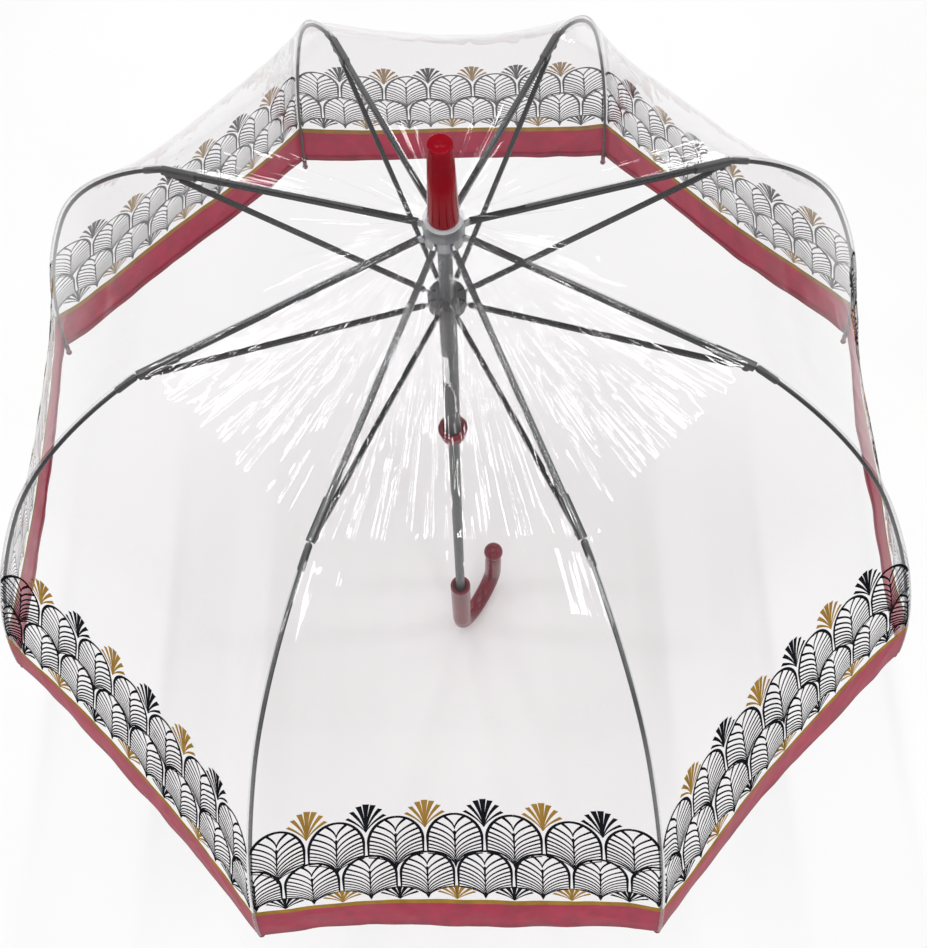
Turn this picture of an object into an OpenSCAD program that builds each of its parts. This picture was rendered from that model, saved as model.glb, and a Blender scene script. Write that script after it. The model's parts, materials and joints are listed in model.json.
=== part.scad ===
// Clear dome umbrella with a crook handle, standing open.
// The shaft's axis is the Z axis, and the bottom of the crook is at z = 0.
// Each rib turns about the notch ring, each stretcher about a rivet under its rib,
// and the sprung rods carry the film from the rib joints down to the hem.

/* [Shaft and handle] */
// Height of the film's underside at the crown
crown_z = 869; // [850:1:890]
// Outer radius of the shaft tube
shaft_r = 5; // [4.5:0.1:5.5]
// Wall of the shaft tube
shaft_wall = 0.7; // [0.5:0.1:1]
// Height of the handle's socket mouth
socket_z = 174; // [160:1:185]
// Outer radius of the handle's socket
socket_r = 11.4; // [10.5:0.1:12.5]
// Radius of the crook's round grip
grip_r = 10; // [9:0.1:11]
// Distance between the stem's and the free arm's centre lines
crook_span = 75; // [60:1:90]
// Height of the knob's centre, at the end of the free arm
knob_z = 112; // [90:1:125]
// Radius of the knob
knob_r = 11.4; // [10.5:0.1:12.5]
// Direction that the crook points, round from +X
crook_turn = 58; // [0:1:90]

/* [Ribs and stretchers] */
// Radius of the rings that the ribs and stretchers turn on
pivot_r = 11; // [10.5:0.1:11.5]
// Length from ring to rivet of a rib, and of a stretcher
arm_len = 199; // [180:1:210]
// Slope of an open rib below the horizontal, in degrees
rib_slope = 11; // [8:0.5:14]
// Height of the rib's channel above the line between its pivots
rib_lift = 4; // [3.8:0.1:4.4]

/* [Sprung rods] */
// Slope at the rod's root, in degrees
rod_root_slope = 27; // [24:1:30]
// Slope where the tight bend ends, in degrees
rod_bend_slope = 62; // [58:1:66]
// Slope at the hem, in degrees
rod_hem_slope = 81; // [78:1:88]
// Length of the rod's tight bend
rod_bend_len = 170; // [150:5:190]
// Length of the rod's long flat bend
rod_flat_len = 280; // [260:5:300]
// Length from the rod's root to the point where it flexes
rod_flex_len = 225; // [210:5:240]

/* [Runner] */
// Height of the collar
collar_h = 18; // [15:0.5:20]
// Bottom of the collar, with the umbrella open
collar_z = 563; // [550:1:575]
// Radius of the collar's upper flange
flange_r = 12.8; // [11.5:0.1:13.5]
// Outer radius of the runner's long sleeve
sleeve_r = 6.4; // [6.2:0.1:6.8]

/* [Ferrule and film] */
// Length of the ferrule
ferrule_h = 69; // [55:1:90]
// Radius at the ferrule's base
ferrule_base_r = 10.3; // [9.5:0.1:11.5]
// Radius at the ferrule's tip
ferrule_tip_r = 7.35; // [6.5:0.05:8.5]
// Thickness of the film's solid
film_t = 0.6; // [0.5:0.1:0.8]
// Distance from the rib's centre line out to the film
film_gap = 3.5; // [3.4:0.1:4]
// Height that the film climbs from the ribs' inner ends to the crown
crown_rise = 7; // [4:0.5:10]

/* [Hidden] */
ribs = 8;
$fn = 48;
eps = 0.01;
gap = 0.3;                      // clearance between pieces that move past each other
press = 0.05;                   // clearance between pieces that are fixed together
step = 360 / ribs;
first_rib = step / 2;

fold = 74.5;                    // angle that each rib turns through to close
pivot_z = crown_z - crown_rise - rib_lift - film_gap;
runner_z = pivot_z - 2 * arm_len * sin(rib_slope);
travel = 2 * arm_len * (sin(rib_slope + fold) - sin(rib_slope));

ring_r = 0.6;                   // wire that the ribs and stretchers turn on
ring_hole_r = 0.68;
hub_r = 13.5;
slot_w = 2.2;
slot_inner_r = 8.4;
tab_t = 1.5;                    // flattened end of a rib or stretcher

rib_w = 3.6;
rib_h = 3.4;
rib_wall = 0.5;
rib_start = 6;
stretcher_w = 3.2;
stretcher_h = 2.8;
stretcher_start = 6;
stretcher_end = arm_len - 8;

rivet_r = 0.8;
rivet_hole_r = 0.88;
joint_len = 28;
joint_w = 5.6;
joint_h = 5.8;
joint_end = 4.4;                // how far the joint reaches past the rivet
ear_gap = 2.1;
ear_t = 0.85;

root_gap = 7;                   // from the rivet out to the rod's root
root_r = 2.4;
root_len = 16;
upper_rod_r = 1.5;
mid_rod_r = 1.42;
lower_rod_r = 1.3;
flex_gap = 0.7;
tip_r = 2.4;
tip_ball_r = 3;
tip_len = 14;

sleeve_bore_r = shaft_r + 0.35;
hub_bore_r = shaft_r + gap;

catch_w = 2;
catch_t = 1.2;
catch_out = shaft_r + 3.2;
catch_top = collar_z - 0.7;
catch_arm = 57;
low_catch_z = 270;
window_w = 3;

film_hem_gap = 9;               // the film ends this far above the rod's end
film_side_gap = 0.35;

per_rib = ["rib", "rib_joint", "rod_upper", "rod_lower", "stretcher", "canopy_panel"];

// Points [radius, height] in one rib's own upright plane. Slopes are downward from horizontal.
function along(slope) = [cos(slope), -sin(slope)];
function above(slope) = [sin(slope), cos(slope)];
function in_rib(x, z) = [pivot_r, pivot_z] + x * along(rib_slope) + z * above(rib_slope);
function bend_r(length, turn) = length / turn * 180 / PI;

root_at = in_rib(arm_len + root_gap, rib_lift);
tight_r = bend_r(rod_bend_len, rod_bend_slope - rod_root_slope);
tight_c = root_at - tight_r * above(rod_root_slope);
flat_r = bend_r(rod_flat_len, rod_hem_slope - rod_bend_slope);
flat_c = tight_c + (tight_r - flat_r) * above(rod_bend_slope);
flex_slope = rod_bend_slope + (rod_flex_len - rod_bend_len) / flat_r * 180 / PI;
end_at = flat_c + flat_r * above(rod_hem_slope);
film_hem_slope = rod_hem_slope - film_hem_gap / flat_r * 180 / PI;

// ---- frames ----
module around(n) {
    rotate([0, 0, first_rib + (n - 1) * step]) children();
}

module rib_frame() {
    translate([pivot_r, 0, pivot_z]) rotate([0, rib_slope, 0]) children();
}

module stretcher_frame() {
    translate([pivot_r, 0, runner_z]) rotate([0, -rib_slope, 0]) children();
}

// A flat outline in the rib's upright plane, t thick across it
module plate(t, y = 0) {
    translate([0, y + t / 2, 0]) rotate([90, 0, 0]) linear_extrude(t) children();
}

// ---- shared shapes ----
module tube(r, bore, z0, z1) {
    difference() {
        translate([0, 0, z0]) cylinder(r = r, h = z1 - z0);
        translate([0, 0, z0 - 1]) cylinder(r = bore, h = z1 - z0 + 2);
    }
}

// Folded steel channel, open below, running along X about the height z
module channel(x0, x1, z, w, h, wall) {
    difference() {
        translate([x0, -w / 2, z - h / 2]) cube([x1 - x0, w, h]);
        translate([x0 - 1, wall - w / 2, z - h / 2 - 1]) cube([x1 - x0 + 2, w - 2 * wall, h - wall + 1]);
    }
}

// Round rod bent between two slopes about the centre c
module bent_rod(c, bend, slope_a, slope_b, r) {
    translate([c.x, 0, c.y]) rotate([90, 0, 0]) rotate([0, 0, 90 - slope_b])
        rotate_extrude(angle = slope_b - slope_a) translate([bend, 0]) circle(r);
}

module ring_wire(z) {
    translate([0, 0, z]) rotate_extrude() translate([pivot_r, 0]) circle(ring_r);
}

// Slots that the tabs swing in, from z0 to z1, and the tunnel that the wire lies in
module ring_slots(z, z0, z1) {
    for (n = [1 : ribs]) around(n)
        translate([slot_inner_r, -slot_w / 2, z0]) cube([hub_r, slot_w, z1 - z0]);
    translate([0, 0, z]) rotate_extrude() translate([pivot_r, 0]) circle(ring_r + press);
}

// ---- shaft, handle and ferrule ----
module shaft() {
    color("dimgray") difference() {
        tube(shaft_r, shaft_r - shaft_wall, socket_z - 60, crown_z + 26);
        translate([-window_w / 2, 0, catch_top - 17]) cube([window_w, shaft_r + 1, 18.4]);
        translate([-window_w / 2, 0, low_catch_z - 1.4]) cube([window_w, shaft_r + 1, 16.4]);
    }
}

module handle() {
    bend = crook_span / 2;
    base = bend + grip_r;
    stem_r = grip_r + 0.9;
    color("darkred") rotate([0, 0, crook_turn]) difference() {
        union() {
            translate([0, 0, base]) cylinder(r1 = grip_r, r2 = stem_r, h = 9);
            translate([0, 0, base + 9]) cylinder(r1 = stem_r, r2 = socket_r, h = socket_z - base - 10.2);
            translate([0, 0, socket_z - 1.2]) cylinder(r1 = socket_r, r2 = socket_r - 0.9, h = 1.2);
            translate([bend, 0, base]) rotate([-90, 0, 0]) rotate_extrude(angle = 180)
                translate([bend, 0]) circle(grip_r);
            translate([crook_span, 0, base]) cylinder(r = grip_r, h = knob_z - 18 - base);
            translate([crook_span, 0, knob_z - 18]) cylinder(r1 = grip_r, r2 = grip_r - 1.2, h = 10);
            translate([crook_span, 0, knob_z]) sphere(knob_r);
        }
        translate([0, 0, socket_z - 60]) cylinder(r = shaft_r + press, h = 61);
        translate([0, 0, socket_z - 4]) cylinder(r1 = shaft_r + press, r2 = socket_r - 3, h = 4 + eps);
    }
}

module ferrule() {
    base = crown_z + film_t + gap + 1.1;
    top = base + ferrule_h;
    color("crimson") difference() {
        rotate_extrude() polygon([
            [0, base], [ferrule_base_r - 0.7, base], [ferrule_base_r, base + 0.9],
            [ferrule_tip_r, top - 1], [ferrule_tip_r - 0.9, top], [0, top]
        ]);
        translate([0, 0, base - 1]) cylinder(r = shaft_r + press, h = 27);
    }
}

module canopy_rosette() {
    base = crown_z + film_t + gap;
    color("whitesmoke") tube(13, shaft_r + press, base, base + 1);
}

module top_notch() {
    color("black") difference() {
        union() {
            translate([0, 0, pivot_z - 4]) cylinder(r = hub_r, h = 10);
            translate([0, 0, pivot_z + 5]) cylinder(r1 = 8.8, r2 = 8, h = crown_z - 1.2 - pivot_z - 5);
        }
        translate([0, 0, pivot_z - 5]) cylinder(r = shaft_r + press, h = 30);
        ring_slots(pivot_z, pivot_z - 5, pivot_z + 5.4);
    }
}

module notch_ring() {
    color("silver") ring_wire(pivot_z);
}

// ---- runner ----
module runner_hub() {
    color("black") difference() {
        union() {
            translate([0, 0, runner_z - 7]) cylinder(r = hub_r, h = 11);
            translate([0, 0, runner_z - 14]) cylinder(r1 = 8.2, r2 = 9.5, h = 7);
        }
        translate([0, 0, runner_z - 15]) cylinder(r = hub_bore_r, h = 20);
        translate([0, 0, runner_z - 15]) cylinder(r = sleeve_r + press, h = 7);
        ring_slots(runner_z, runner_z - 2.6, runner_z + 5);
    }
}

module runner_ring() {
    color("silver") ring_wire(runner_z);
}

module runner_sleeve() {
    color("darkslategray") difference() {
        tube(sleeve_r, sleeve_bore_r, collar_z + 2.1, runner_z - 8.1);
        translate([-window_w / 2, 0, low_catch_z + travel - 2]) cube([window_w, sleeve_r + 1, 16]);
    }
}

module runner_collar() {
    cup_r = flange_r - 2;
    top = collar_z + collar_h;
    color("darkred") difference() {
        rotate_extrude() polygon([
            [0, collar_z], [cup_r - 2.5, collar_z], [cup_r - 1, collar_z + 1.2], [cup_r, collar_z + 3.4],
            [cup_r, top - 8.2], [flange_r - 1.4, top - 7.2], [flange_r - 0.3, top - 5.8],
            [flange_r, top - 4], [flange_r - 0.5, top - 1.8], [flange_r - 1.7, top - 0.4],
            [flange_r - 3.2, top], [0, top]
        ]);
        translate([0, 0, collar_z - 1]) cylinder(r = hub_bore_r, h = collar_h + 2);
        translate([0, 0, collar_z + 2]) cylinder(r = sleeve_r + press, h = collar_h);
        translate([0, 0, top - 2.5]) cylinder(r1 = sleeve_r + press, r2 = sleeve_r + 1.6, h = 2.5 + eps);
    }
}

// Sprung catch: a strip inside the shaft that turns about its foot, with a fin through the window
module catch_strip(foot_z, fin) {
    color("silver") rotate([0, 0, 90]) plate(catch_w) difference() {
        union() {
            translate([0, foot_z]) circle(1.5);
            translate([0, foot_z]) square([catch_t, catch_arm - 14]);
            polygon(fin);
        }
        translate([0, foot_z]) circle(0.6);
    }
}

module top_catch() {
    low = catch_top - 15;
    catch_strip(catch_top - catch_arm, [
        [0, low], [catch_t, low], [catch_out, catch_top - 3], [catch_out, catch_top], [0, catch_top]
    ]);
}

module bottom_catch() {
    top = low_catch_z + 12;
    catch_strip(low_catch_z - catch_arm + 14, [
        [0, low_catch_z - 2], [catch_t, low_catch_z - 2], [catch_t, low_catch_z],
        [catch_out, low_catch_z], [catch_out, low_catch_z + 3], [catch_t, top], [0, top]
    ]);
}

// ---- one rib's pieces ----
module rib(n) {
    top = rib_lift + rib_h / 2;
    color("black") around(n) rib_frame() {
        channel(rib_start, arm_len - 2, rib_lift, rib_w, rib_h, rib_wall);
        plate(tab_t) difference() {
            union() {
                circle(2.2);
                polygon([[0, -2.2], [9, 1.8], [12, top - 0.2], [3, top - 0.2], [-1.5, 1.6]]);
            }
            circle(ring_hole_r);
        }
    }
}

// Black joint that clips over the rib's end, with the rivet that the stretcher turns on
module rib_joint(n) {
    x0 = arm_len + joint_end - joint_len;
    bottom = rib_lift - joint_h / 2;
    around(n) rib_frame() {
        color([0.1, 0.1, 0.1]) difference() {
            union() {
                translate([x0, 0, rib_lift]) rotate([0, 90, 0]) joint_bar(joint_len);
                for (side = [-1, 1]) plate(ear_t, side * (ear_gap + ear_t) / 2) {
                    translate([arm_len, 0]) circle(2.4);
                    translate([arm_len - 2.4, 0]) square([4.8, bottom + 1]);
                }
            }
            translate([x0 - 1, -rib_w / 2 - press, rib_lift - rib_h / 2 - press])
                cube([arm_len - 2 + press - x0 + 1, rib_w + 2 * press, rib_h + 2 * press]);
            translate([arm_len - 3.6, -ear_gap / 2, -3]) cube([joint_end + 5, ear_gap, 5.6]);
            translate([arm_len + root_gap, 0, rib_lift]) sphere(root_r + 0.4);
            rivet_bar(rivet_r + press, 10);
        }
        color("goldenrod") {
            rivet_bar(rivet_r, ear_gap + 2 * ear_t + 1);
            for (side = [-1, 1]) plate(0.6, side * (ear_gap / 2 + ear_t + press + 0.3))
                translate([arm_len, 0]) circle(1.1);
        }
    }
}

// Bar with rounded edges, standing along Z, its width along Y
module joint_bar(length) {
    edge = 1.5;
    linear_extrude(length) {
        square([joint_h - 2 * edge, joint_w], center = true);
        square([joint_h, joint_w - 2 * edge], center = true);
        for (x = [-1, 1], y = [-1, 1])
            translate([x * (joint_h / 2 - edge), y * (joint_w / 2 - edge)]) circle(edge);
    }
}

module rivet_bar(r, length) {
    translate([arm_len, length / 2, 0]) rotate([90, 0, 0]) cylinder(r = r, h = length);
}

module rod_upper(n) {
    color([0.13, 0.14, 0.15]) around(n) {
        bent_rod(tight_c, tight_r, rod_root_slope, rod_bend_slope, upper_rod_r);
        bent_rod(flat_c, flat_r, rod_bend_slope - 0.1, flex_slope - flex_turn(flex_gap), mid_rod_r);
        translate([root_at.x, 0, root_at.y]) {
            sphere(root_r);
            rotate([0, 90 + rod_root_slope, 0]) cylinder(r = root_r, h = root_len);
        }
    }
}

// The last length of rod, with the moulded tip pushed over its end
module rod_lower(n) {
    around(n) {
        color([0.2, 0.21, 0.22])
            bent_rod(flat_c, flat_r, flex_slope + flex_turn(flex_gap), rod_hem_slope, lower_rod_r);
        color("darkred") difference() {
            translate([end_at.x, 0, end_at.y]) {
                sphere(tip_ball_r);
                rotate([0, rod_hem_slope - 90, 0]) cylinder(r = tip_r, h = tip_len);
            }
            bent_rod(flat_c, flat_r, rod_hem_slope - flex_turn(tip_len + 3),
                rod_hem_slope + flex_turn(press), lower_rod_r + press);
        }
    }
}

function flex_turn(length) = length / flat_r * 180 / PI;

module stretcher(n) {
    color([0.08, 0.09, 0.1]) around(n) stretcher_frame() {
        channel(stretcher_start, stretcher_end, 0, stretcher_w, stretcher_h, rib_wall);
        plate(tab_t) difference() {
            union() {
                circle(1.8);
                translate([0, -1.2]) square([12, 2.4]);
            }
            circle(ring_hole_r);
        }
        plate(tab_t) difference() {
            union() {
                translate([arm_len, 0]) circle(1.7);
                translate([arm_len - 14, -1.2]) square([14, 2.4]);
            }
            translate([arm_len, 0]) circle(rivet_hole_r);
        }
    }
}

// ---- film ----
// Outline of the film over one rib, from the crown to the hem, at distance d outside the rib
function film_line(d) = concat(
    [[7, crown_z + d - film_gap]],
    [for (x = [26, 70, 120, 170]) in_rib(x, rib_lift + d)],
    [for (i = [0 : 5]) root_at + d * above(rib_slope + i / 5 * (rod_root_slope - rib_slope))],
    [for (i = [1 : 9]) tight_c + (tight_r + d) * above(
        rod_root_slope + i / 9 * (rod_bend_slope - rod_root_slope))],
    [for (i = [1 : 7]) flat_c + (flat_r + d) * above(
        rod_bend_slope + i / 7 * (film_hem_slope - rod_bend_slope))]
);

// A film edge lies over a rib, a little inside it so that neighbours don't touch
function film_edge(line, side) = [for (p = line) [
    p.x * cos(step / 2) + film_side_gap * sin(step / 2),
    side * (p.x * sin(step / 2) - film_side_gap * cos(step / 2)),
    p.y
]];

// One gore of film: a thin sheet, straight across between its two ribs
module canopy_panel(n) {
    inner = film_line(film_gap);
    outer = film_line(film_gap + film_t);
    rows = len(inner);
    corners = concat(film_edge(inner, -1), film_edge(inner, 1), film_edge(outer, 1), film_edge(outer, -1));
    walls = [for (i = [0 : rows - 2], j = [0 : 3]) let (k = (j + 1) % 4)
        [j * rows + i, j * rows + i + 1, k * rows + i + 1, k * rows + i]];
    color([0.9, 0.92, 0.94, 0.35]) around(n + 0.5) polyhedron(
        points = corners,
        faces = concat(
            [for (w = walls) [w[0], w[1], w[2]]],
            [for (w = walls) [w[0], w[2], w[3]]],
            [[0, rows, 2 * rows, 3 * rows], [for (j = [3 : -1 : 0]) j * rows + rows - 1]]
        )
    );
}

shaft();
handle();
ferrule();
canopy_rosette();
top_notch();
notch_ring();
runner_hub();
runner_ring();
runner_sleeve();
runner_collar();
top_catch();
bottom_catch();
for (n = [1 : ribs]) {
    rib(n);
    rib_joint(n);
    rod_upper(n);
    rod_lower(n);
    stretcher(n);
    canopy_panel(n);
}
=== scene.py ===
"""Looks of the clear dome umbrella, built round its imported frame. Metres, +Z up, shaft on the Z axis."""
import functools
import json
import math
import bpy
import numpy as np
from mathutils import Matrix, Vector


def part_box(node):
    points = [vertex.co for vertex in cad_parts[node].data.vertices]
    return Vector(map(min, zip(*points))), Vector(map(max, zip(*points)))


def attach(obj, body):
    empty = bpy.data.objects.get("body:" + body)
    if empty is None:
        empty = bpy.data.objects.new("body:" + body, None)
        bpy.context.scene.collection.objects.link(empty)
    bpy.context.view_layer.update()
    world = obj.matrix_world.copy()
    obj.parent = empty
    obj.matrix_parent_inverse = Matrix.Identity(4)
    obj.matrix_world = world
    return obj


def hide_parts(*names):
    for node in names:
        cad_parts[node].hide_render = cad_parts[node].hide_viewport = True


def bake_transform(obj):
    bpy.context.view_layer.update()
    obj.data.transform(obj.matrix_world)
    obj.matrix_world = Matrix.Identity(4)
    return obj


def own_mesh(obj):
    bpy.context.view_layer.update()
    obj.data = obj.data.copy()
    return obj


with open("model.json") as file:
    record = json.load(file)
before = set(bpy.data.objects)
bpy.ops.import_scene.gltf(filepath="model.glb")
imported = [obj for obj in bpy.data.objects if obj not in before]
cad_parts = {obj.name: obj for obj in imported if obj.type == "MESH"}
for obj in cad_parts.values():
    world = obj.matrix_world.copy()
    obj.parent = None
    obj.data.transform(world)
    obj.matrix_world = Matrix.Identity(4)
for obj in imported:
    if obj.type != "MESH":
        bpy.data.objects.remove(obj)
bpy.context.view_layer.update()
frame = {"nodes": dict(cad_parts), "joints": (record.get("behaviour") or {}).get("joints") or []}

# ---- sizes, from the frame where it holds them ----
RIBS = 8
HALF_STEP = math.pi / RIBS
JOINTS = {joint["name"]: joint for joint in frame["joints"]}


def in_rib_plane(joint):
    """[radius, height] of a joint's axis, in its own rib's upright plane."""
    x, y, z = JOINTS[joint]["pos_m"]
    return np.array([math.hypot(x, y), z])


PIVOT = in_rib_plane("fold")
RIVET = in_rib_plane("stretcher_1_swing")
ROOT = in_rib_plane("rod_1_bend")
ARM = float(np.linalg.norm(RIVET - PIVOT))
RIB_SLOPE = math.atan2(PIVOT[1] - RIVET[1], RIVET[0] - PIVOT[0])
ROD_START = ARM + 0.007            # a place p along the film counts from the rib's pivot; the rod starts here
RIB_LIFT = 0.004                   # from the pivots' line up to the ribs' centre line
ROD_SLOPES = [math.radians(v) for v in (27, 62, 81)]
ROD_LENGTHS = (0.170, 0.280)
ROD_FLEX = 0.225
FILM_OUT = 0.0038                  # from the rib's or rod's centre line out to the film
HEM_AT = ROD_START + 0.441
FLEX_AT = ROD_START + ROD_FLEX
CROWN_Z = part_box("canopy_panel_1")[1].z - 0.0003
CROWN_R = 0.007
CROWN_AT = -0.007                  # the film runs straight from this place to the kink over the ribs
KINK_AT = 0.026
FILM_START = -0.0088
HEM_RISE = 0.007                   # the middle of each gore's hem rides this much higher than its ends
BAND_H = 0.057
GOLD_H = 0.0085
ROD_R = 0.0015
BORE_R = 0.0054                    # inside radius of the washer and the collar, round the shaft
INWARD_LAYER = -0.0002             # film set further in than this is the turned hem's inner layer

RED_BURGUNDY = (0.16, 0.002, 0.014, 1)
INK = (0.010, 0.011, 0.014, 1)
GOLD = (0.33, 0.19, 0.038, 1)


# ---- rib plane curves ----
def along(slope):
    return np.stack([np.cos(slope), -np.sin(slope)], -1)


def above(slope):
    return np.stack([np.sin(slope), np.cos(slope)], -1)


TIGHT_R = ROD_LENGTHS[0] / (ROD_SLOPES[1] - ROD_SLOPES[0])
FLAT_R = ROD_LENGTHS[1] / (ROD_SLOPES[2] - ROD_SLOPES[1])
TIGHT_C = ROOT - TIGHT_R * above(ROD_SLOPES[0])
FLAT_C = TIGHT_C + (TIGHT_R - FLAT_R) * above(ROD_SLOPES[1])


def rod_slope(s):
    tight = ROD_SLOPES[0] + s / TIGHT_R
    flat = ROD_SLOPES[1] + (s - ROD_LENGTHS[0]) / FLAT_R
    return np.where(s <= ROD_LENGTHS[0], tight, flat)


def rod_line(s, out=0.0):
    """Points on the sprung rod, s along it from its root, moved outward by out."""
    s = np.asarray(s, float)
    up = above(rod_slope(s))
    tight = TIGHT_C + (TIGHT_R + out) * up
    flat = FLAT_C + (FLAT_R + out) * up
    return np.where((s <= ROD_LENGTHS[0])[..., None], tight, flat)


def rib_line(x, z):
    x = np.asarray(x, float)
    return PIVOT + x[..., None] * along(RIB_SLOPE) + z * above(RIB_SLOPE)


def film_table():
    """The film's profile over a rib, smoothed, as places p and their [radius, height]."""
    step = 0.0005
    reach = 24                     # steps that the smoothing covers either way
    p = np.arange(-0.03, HEM_AT + 0.04, step)
    crown = np.array([CROWN_R, CROWN_Z])
    kink = rib_line(KINK_AT, RIB_LIFT + FILM_OUT)
    share = ((p - CROWN_AT) / (KINK_AT - CROWN_AT))[:, None]
    line = np.where((p < KINK_AT)[:, None], crown + share * (kink - crown),
                    rib_line(p, RIB_LIFT + FILM_OUT))
    line = np.where((p < ROD_START)[:, None], line, rod_line(p - ROD_START, FILM_OUT))
    spread = np.arange(-reach, reach + 1)
    weight = np.exp(-0.5 * (3 * spread / reach) ** 2)
    weight /= weight.sum()
    padded = np.pad(line, ((reach, reach), (0, 0)), mode="reflect", reflect_type="odd")
    return p, np.stack([np.convolve(padded[:, i], weight, mode="valid") for i in range(2)], -1)


TABLE_P, TABLE_RZ = film_table()


def profile(p):
    return np.stack([np.interp(p, TABLE_P, TABLE_RZ[:, i]) for i in range(2)], -1)


# ---- the film's surface ----
# How far the middle of a gore sags in from the straight line between its ribs, at places down the film
SAG_P = [0, 0.05, 0.2, 0.26, 0.50, 0.575, 0.647]
SAG_M = [0, 0.001, 0.005, 0.011, 0.011, 0.007, 0.005]


@functools.lru_cache(None)
def draws(seed, gore, count, values):
    """The same random numbers each time, for one gore."""
    return np.random.RandomState([seed, gore]).rand(count, values)


def wave_sum(gore, p, q, seed, count, length, slant):
    """Soft ridges over a gore: sines of roughly one wavelength, whose crests slant by up to slant radians
    from straight down the gore."""
    across = q * 0.16 * np.clip(p / 0.35, 0.12, 1.0)
    total = 0.0
    for a, b, c in draws(seed, gore, count, 3):
        turn = (2 * a - 1) * slant
        k = 2 * math.pi / (length * (0.7 + 0.6 * b))
        total = total + np.sin(k * (across * math.cos(turn) + p * math.sin(turn)) + 2 * math.pi * c)
    return total / math.sqrt(count)


def wrinkle(gore, p, q):
    """How far the film stands off its smooth shape: creases at the crown, streaks and slack lower down."""
    crown = np.exp(-((p - 0.03) / 0.08) ** 2) * np.clip((p + 0.01) / 0.05, 0, 1)
    a, b, c, d, e, f = draws(3, gore, 1, 6)[0]
    fan = np.sin((8 + 3 * a) * q + 6 * b) + 0.6 * np.sin((15 + 5 * c) * q + 6 * d + 20 * p)
    fan = fan + 0.45 * (1 - 2 * np.abs(np.sin((12 + 6 * e) * q + 6 * f - 14 * p)))
    ridge = wave_sum(gore, p, q, 11, 3, 0.075, 0.9)
    ridge = 1 - 2 * np.abs(np.tanh(1.4 * ridge))
    broad = wave_sum(gore, p, q, 21, 3, 0.20, 1.4)
    fine = wave_sum(gore, p, q, 31, 4, 0.032, 1.2)
    hem = np.exp(-((HEM_AT - p) / 0.035) ** 2) * wave_sum(gore, p, q, 41, 3, 0.055, 0.2)
    middle = np.clip((p - 0.02) / 0.12, 0, 1)
    return 0.0010 * crown * fan + middle * (0.00028 * ridge + 0.0012 * broad + 0.00009 * fine) + 0.0004 * hem


def hem_place(w):
    return HEM_AT - HEM_RISE * (1 - (1 - w) ** 2)


def rib_angle(rib):
    return HALF_STEP * (2 * rib + 1)


def to_world(rib, radial, lateral, z):
    turn = rib_angle(rib)
    return np.stack([radial * math.cos(turn) - lateral * math.sin(turn),
                     radial * math.sin(turn) + lateral * math.cos(turn), z], -1)


def film_at(rib, side, p, w, out=0.0):
    """Points of the film. rib is 0 to 7, side +1 or -1 is the half gore on that side of it, and w runs from 0
    at the rib to 1 at the gore's middle."""
    p, w = np.broadcast_arrays(np.asarray(p, float), np.asarray(w, float))
    rz = profile(p)
    step = profile(p + 0.001) - profile(p - 0.001)
    nr, nz = -step[..., 1], step[..., 0] * math.cos(HALF_STEP)
    size = np.hypot(nr, nz)
    nr, nz = nr / size, nz / size
    half = rz[..., 0] * math.sin(HALF_STEP)
    gore = rib if side > 0 else (rib - 1) % RIBS
    q = w - 1 if side > 0 else 1 - w
    sag = np.interp(p, SAG_P, SAG_M) * (1 - np.abs(1 - w) ** 2.6)
    loose = np.clip(w / 0.18, 0, 1)
    off = out - sag + wrinkle(gore, p, q) * loose * loose * (3 - 2 * loose)
    radial = rz[..., 0] - w * half * math.sin(HALF_STEP) + off * nr * math.cos(HALF_STEP)
    lateral = side * (w * half * math.cos(HALF_STEP) + off * nr * math.sin(HALF_STEP))
    return to_world(rib, radial, lateral, rz[..., 1] + off * nz)


def film_normals(rib, side, p, w):
    """The film's outward normals, by small steps of the surface."""
    d = 0.0008
    dw = 0.004
    a = film_at(rib, side, p + d, w) - film_at(rib, side, p - d, w)
    b = film_at(rib, side, p, w + dw) - film_at(rib, side, p, w - dw)
    n = np.cross(a, b) * side
    n /= np.linalg.norm(n, axis=-1, keepdims=True)
    return n


# ---- mesh helpers ----
def new_object(name, points, faces, materials, faces_material=None, normals=None, places=None):
    mesh = bpy.data.meshes.new(name)
    mesh.from_pydata(np.asarray(points).reshape(-1, 3).tolist(), [], [tuple(map(int, f)) for f in faces])
    for material in materials:
        mesh.materials.append(material)
    if faces_material is not None:
        mesh.polygons.foreach_set("material_index", np.asarray(faces_material, np.int32))
    mesh.polygons.foreach_set("use_smooth", [True] * len(mesh.polygons))
    if places is not None:
        corners = np.zeros(len(mesh.loops), np.int32)
        mesh.loops.foreach_get("vertex_index", corners)
        layer = mesh.uv_layers.new(name="film_place")
        layer.data.foreach_set("uv", np.asarray(places, float).reshape(-1, 2)[corners].ravel())
    mesh.update()
    if normals is not None:
        mesh.normals_split_custom_set_from_vertices(np.asarray(normals).reshape(-1, 3).tolist())
    obj = bpy.data.objects.new(name, mesh)
    bpy.context.scene.collection.objects.link(obj)
    return obj


def grid_faces(rows, columns, close_rows=False, start=0, flip=False):
    """Quads of a grid of rows by columns; close_rows joins each row's end to its start."""
    faces = []
    for i in range(rows - 1):
        for j in range(columns if close_rows else columns - 1):
            k = (j + 1) % columns
            quad = [i * columns + j, i * columns + k, (i + 1) * columns + k, (i + 1) * columns + j]
            faces.append([start + v for v in (quad[::-1] if flip else quad)])
    return faces


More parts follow.
